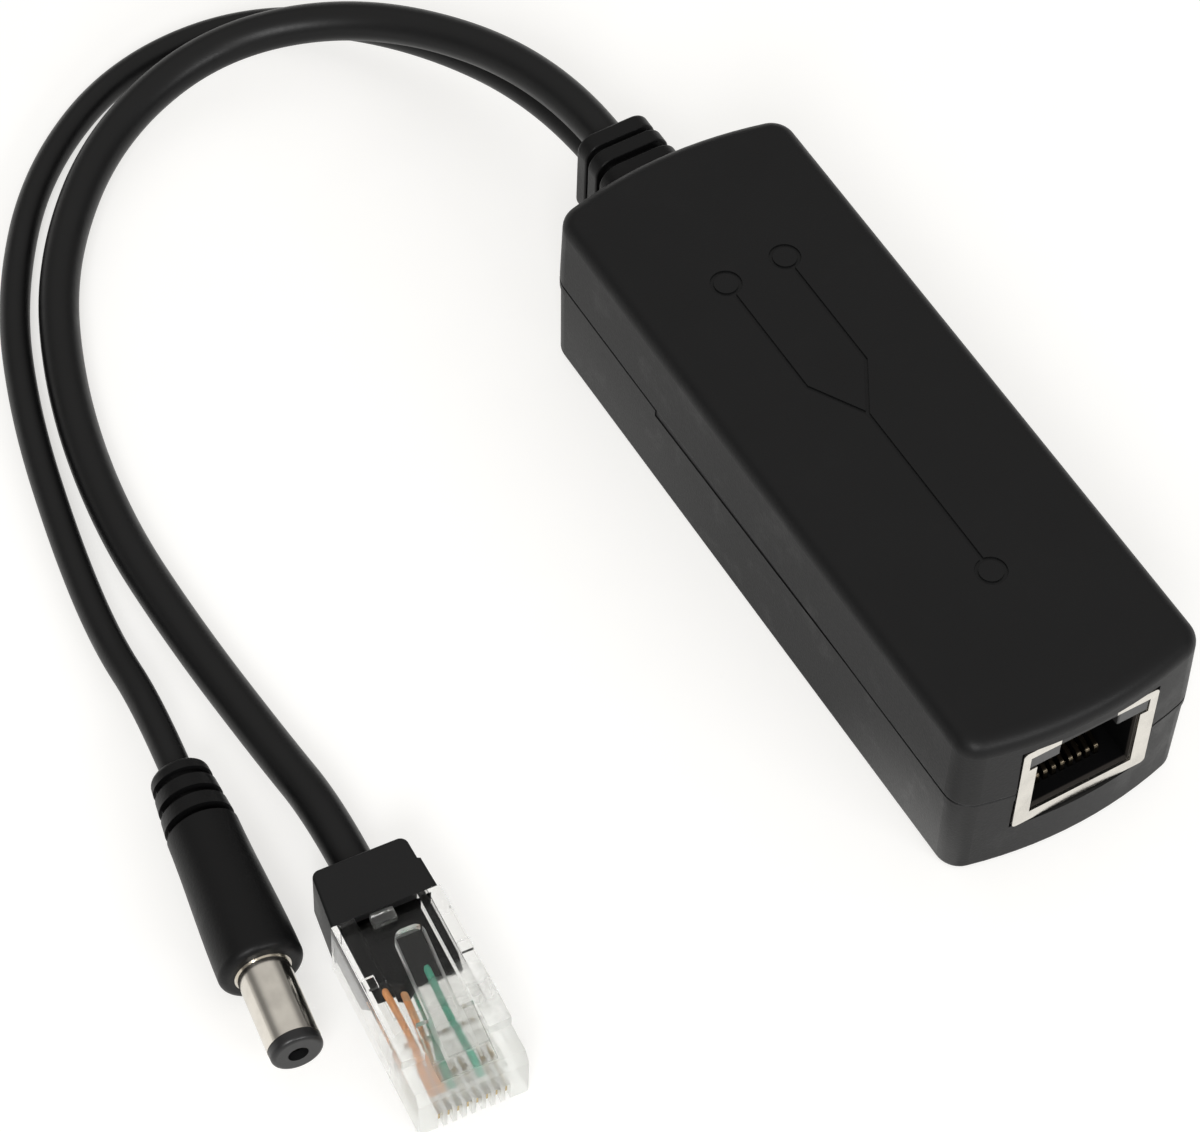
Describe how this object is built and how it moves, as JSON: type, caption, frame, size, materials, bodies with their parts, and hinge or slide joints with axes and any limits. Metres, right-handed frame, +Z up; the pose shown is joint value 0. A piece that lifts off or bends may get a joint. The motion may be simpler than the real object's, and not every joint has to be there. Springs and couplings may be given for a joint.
{
  "type": "network power splitter",
  "caption": "Small black box with a network jack at one end and two short cords at the other, one with a clear network plug and one with a round power plug.",
  "frame": {"origin": "under the middle of the housing, on the surface it lies on", "axes": "+X to the right seen from the jack end, +Y along the housing from the jack to the cords, +Z up"},
  "size_m": [0.098, 0.1381, 0.0222],
  "materials": {
    "housing": "fine satin grain",
    "board": "solder mask on glass fibre",
    "shield": "nickel plated, bright",
    "black_insert": "satin",
    "contact_metal": "gold flashed, polished",
    "indicator": "smoked, unlit",
    "moulded_black": "moulded",
    "chip_ceramic": "fired",
    "capacitor_sleeve": "shrink sleeve",
    "ferrite": "ground ferrite",
    "former": "moulded",
    "winding_tape": "polyester tape",
    "copper_wire": "enamelled copper",
    "lead_insulation": "satin",
    "cable_rubber": "satin",
    "cord_jacket": "satin",
    "boot_plastic": "satin",
    "clear_plastic": "clear, polished",
    "wire_orange": "satin",
    "wire_pale_orange": "satin, white with a pale stripe",
    "wire_green": "satin",
    "wire_pale_green": "satin, white with a pale stripe",
    "plated_sleeve": "nickel plated, polished",
    "insulator": "satin"
  },
  "bodies": {
    "root": {"top_cover": "housing", "bottom_case": "housing", "circuit_board": "board", "jack_shield": "shield", "jack_insert": "black_insert", "jack_contacts": "contact_metal", "jack_led_left": "indicator", "jack_led_right": "indicator", "lan_transformer": "moulded_black", "bridge_rectifiers": "moulded_black", "controller_chip": "moulded_black", "optocoupler": "moulded_black", "ceramic_capacitors": "chip_ceramic", "input_capacitor": "capacitor_sleeve", "output_capacitor": "capacitor_sleeve", "output_diode": "moulded_black", "transformer_core": "ferrite", "transformer_bobbin": "former", "transformer_winding": "winding_tape", "choke_core": "ferrite", "choke_winding": "copper_wire", "data_leads": "lead_insulation", "power_leads": "lead_insulation", "cable_grommet": "cable_rubber", "data_cord": "cord_jacket", "power_cord": "cord_jacket", "plug_boot": "boot_plastic", "plug_body": "clear_plastic", "plug_contacts": "contact_metal", "plug_filler": "black_insert", "plug_wire_orange": "wire_orange", "plug_wire_orange_white": "wire_pale_orange", "plug_wire_green": "wire_green", "plug_wire_green_white": "wire_pale_green", "power_grip": "cord_jacket", "power_barrel": "plated_sleeve", "power_insulator": "insulator", "power_contact": "contact_metal"}
  },
  "joints": []
}
